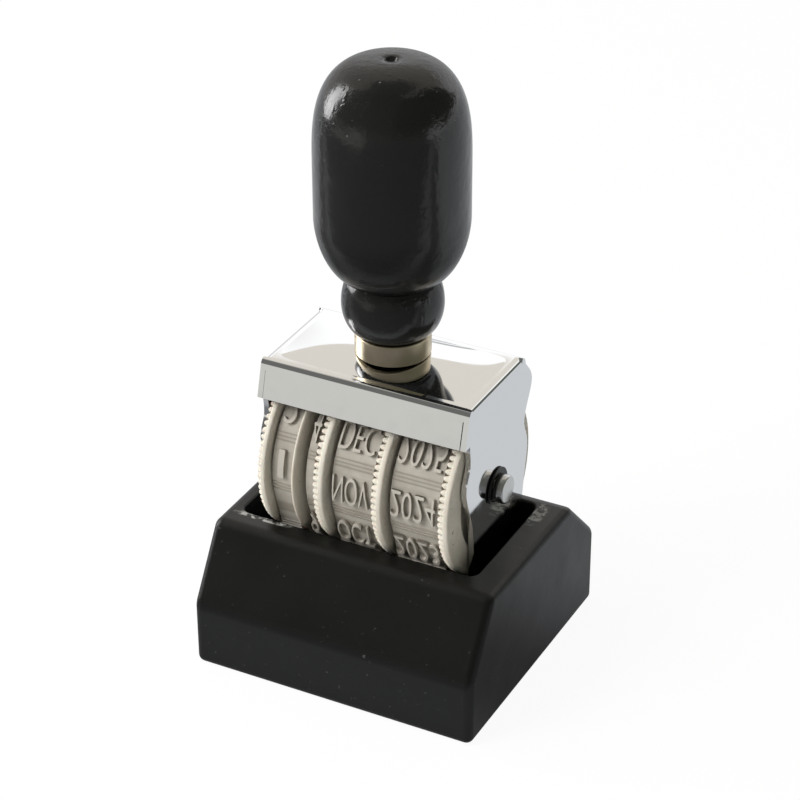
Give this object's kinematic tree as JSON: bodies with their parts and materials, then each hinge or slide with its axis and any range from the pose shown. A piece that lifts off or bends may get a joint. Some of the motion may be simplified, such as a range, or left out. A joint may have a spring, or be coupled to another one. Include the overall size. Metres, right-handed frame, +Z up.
{
  "type": "date stamp",
  "caption": "Hand date stamp with a turned handle and a chromed band frame, standing in a sloped wooden holder.",
  "frame": {"origin": "centre of the holder's underside", "axes": "+Z up along the handle, front with the type bands towards -Y, wheels in a row along X"},
  "size_m": [0.045, 0.042, 0.0922],
  "materials": {
    "block_paint": "wood under satin black paint",
    "lacquer": "wood under gloss black lacquer",
    "chrome": "polished plate on bent steel sheet",
    "nickel": "bright warm plate",
    "steel": "bright",
    "black_steel": "blackened spring steel",
    "ivory": "satin ivory moulding",
    "rubber": "matt pale rubber"
  },
  "bodies": {
    "holder": {"holder_block": "block_paint"},
    "stamp": {"frame": "chrome", "axle": "steel", "axle_clip_left": "black_steel", "axle_clip_right": "black_steel", "tens_band": "rubber", "units_band": "rubber", "month_band": "rubber", "year_band": "rubber", "platen": "ivory", "platen_rivet_left": "steel", "platen_rivet_right": "steel", "ferrule": "nickel", "handle": "lacquer", "handle_screw_washer": "steel", "handle_screw": "steel"},
    "tens": {"tens_wheel": "ivory"},
    "units": {"units_wheel": "ivory"},
    "month": {"month_wheel": "ivory"},
    "year": {"year_wheel": "ivory"}
  },
  "joints": [
    {"name": "stamp_lift", "type": "slide", "parent": "holder", "child": "stamp", "axis": [0, 0, 1], "range_m": [0, 0.045]},
    {"name": "tens_turn", "type": "hinge", "parent": "stamp", "child": "tens", "pos_m": [-0.00045, 0, 0.0298], "axis": [1, 0, 0], "continuous": true},
    {"name": "units_turn", "type": "hinge", "parent": "stamp", "child": "units", "pos_m": [-0.00045, 0, 0.0298], "axis": [1, 0, 0], "continuous": true},
    {"name": "month_turn", "type": "hinge", "parent": "stamp", "child": "month", "pos_m": [-0.00045, 0, 0.0298], "axis": [1, 0, 0], "continuous": true},
    {"name": "year_turn", "type": "hinge", "parent": "stamp", "child": "year", "pos_m": [-0.00045, 0, 0.0298], "axis": [1, 0, 0], "continuous": true}
  ]
}
